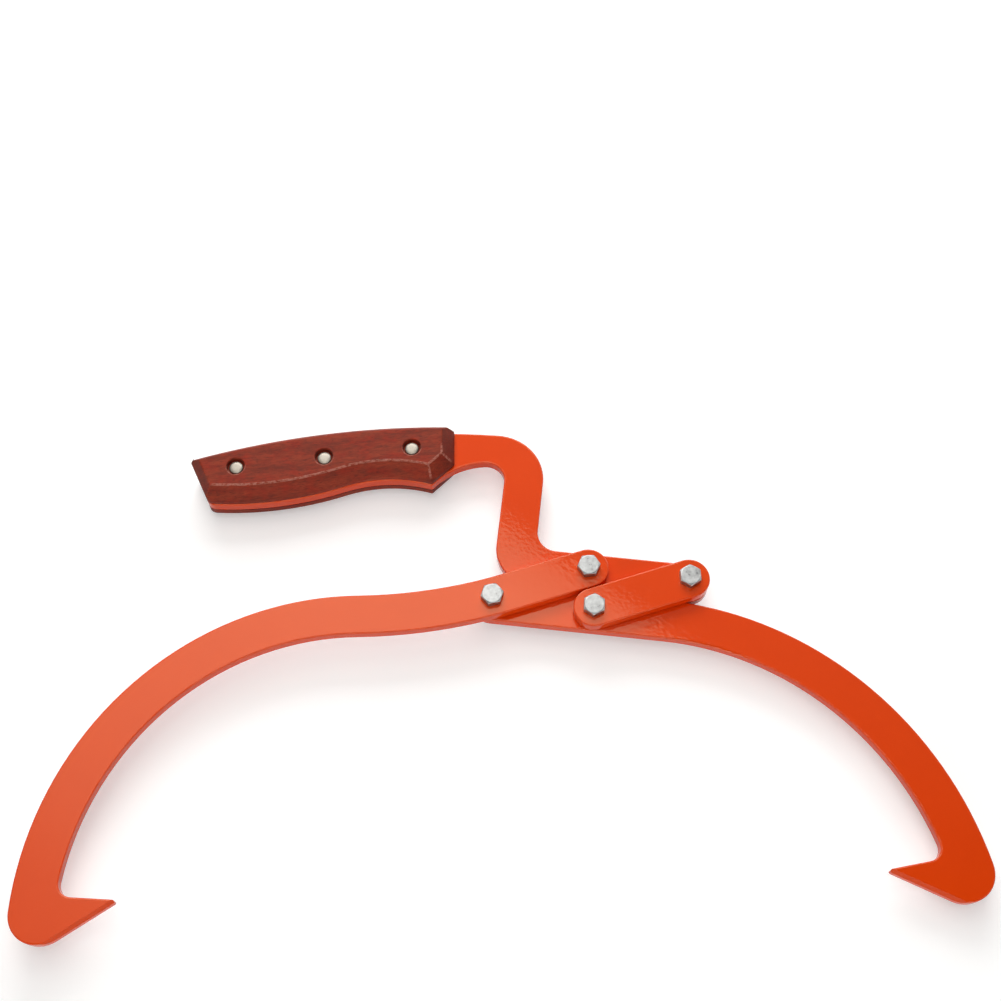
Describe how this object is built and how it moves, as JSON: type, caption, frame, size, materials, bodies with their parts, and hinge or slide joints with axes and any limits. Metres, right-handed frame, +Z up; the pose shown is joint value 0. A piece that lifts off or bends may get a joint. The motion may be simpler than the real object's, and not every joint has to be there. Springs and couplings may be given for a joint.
{
  "type": "log grabber",
  "caption": "Flat-plate log grabber: hooked steel claws on a bolted rhombus linkage that closes them when the swept-back handle with wooden scales is lifted.",
  "frame": {"origin": "middle of the open tool's footprint, on the surface that its rear handle scale lies on", "axes": "+X to the right jaw, +Y to the handle, +Z up out of the bolt heads, with the tool lying flat and open"},
  "size_m": [0.4418, 0.2586, 0.0263],
  "materials": {
    "orange_powder_coat": "semi-gloss powder coat with a light orange-peel texture",
    "stained_hardwood": "satin red-brown stain, paler where the edges are worn",
    "zinc_plate": "bright zinc plating",
    "rivet_steel": "satin nickel",
    "nylon": "natural nylon"
  },
  "bodies": {
    "handle": {"handle_plate": "orange_powder_coat", "front_scale": "stained_hardwood", "rear_scale": "stained_hardwood", "rivet_post_1": "rivet_steel", "rivet_cap_1": "rivet_steel", "rivet_post_2": "rivet_steel", "rivet_cap_2": "rivet_steel", "rivet_post_3": "rivet_steel", "rivet_cap_3": "rivet_steel", "pivot_bolt_b": "zinc_plate", "lock_nut_b": "zinc_plate", "nylon_ring_b": "nylon", "pivot_bolt_d": "zinc_plate", "lock_nut_d": "zinc_plate", "nylon_ring_d": "nylon"},
    "left_jaw": {"left_jaw": "orange_powder_coat"},
    "right_jaw": {"right_jaw": "orange_powder_coat", "pivot_bolt_a": "zinc_plate", "lock_nut_a": "zinc_plate", "nylon_ring_a": "nylon", "pivot_bolt_c": "zinc_plate", "lock_nut_c": "zinc_plate", "nylon_ring_c": "nylon"},
    "link": {"link": "orange_powder_coat"}
  },
  "joints": [
    {"name": "left_jaw_pivot", "type": "hinge", "parent": "handle", "child": "left_jaw", "pos_m": [0.04063, 0.05032, 0.0192], "axis": [0, 0, 1], "range_deg": [0, 131.8]},
    {"name": "right_jaw_pivot", "type": "hinge", "parent": "left_jaw", "child": "right_jaw", "pos_m": [-0.00698, 0.03506, 0.013], "axis": [0, 0, 1], "range_deg": [-131.8, 0]},
    {"name": "link_pivot", "type": "hinge", "parent": "handle", "child": "link", "pos_m": [0.09033, 0.04484, 0.0192], "axis": [0, 0, 1], "range_deg": [0, 131.8]}
  ],
  "couplings": [
    {"joint": "right_jaw_pivot", "follows": "left_jaw_pivot", "ratio": -1},
    {"joint": "link_pivot", "follows": "left_jaw_pivot", "ratio": 1}
  ]
}
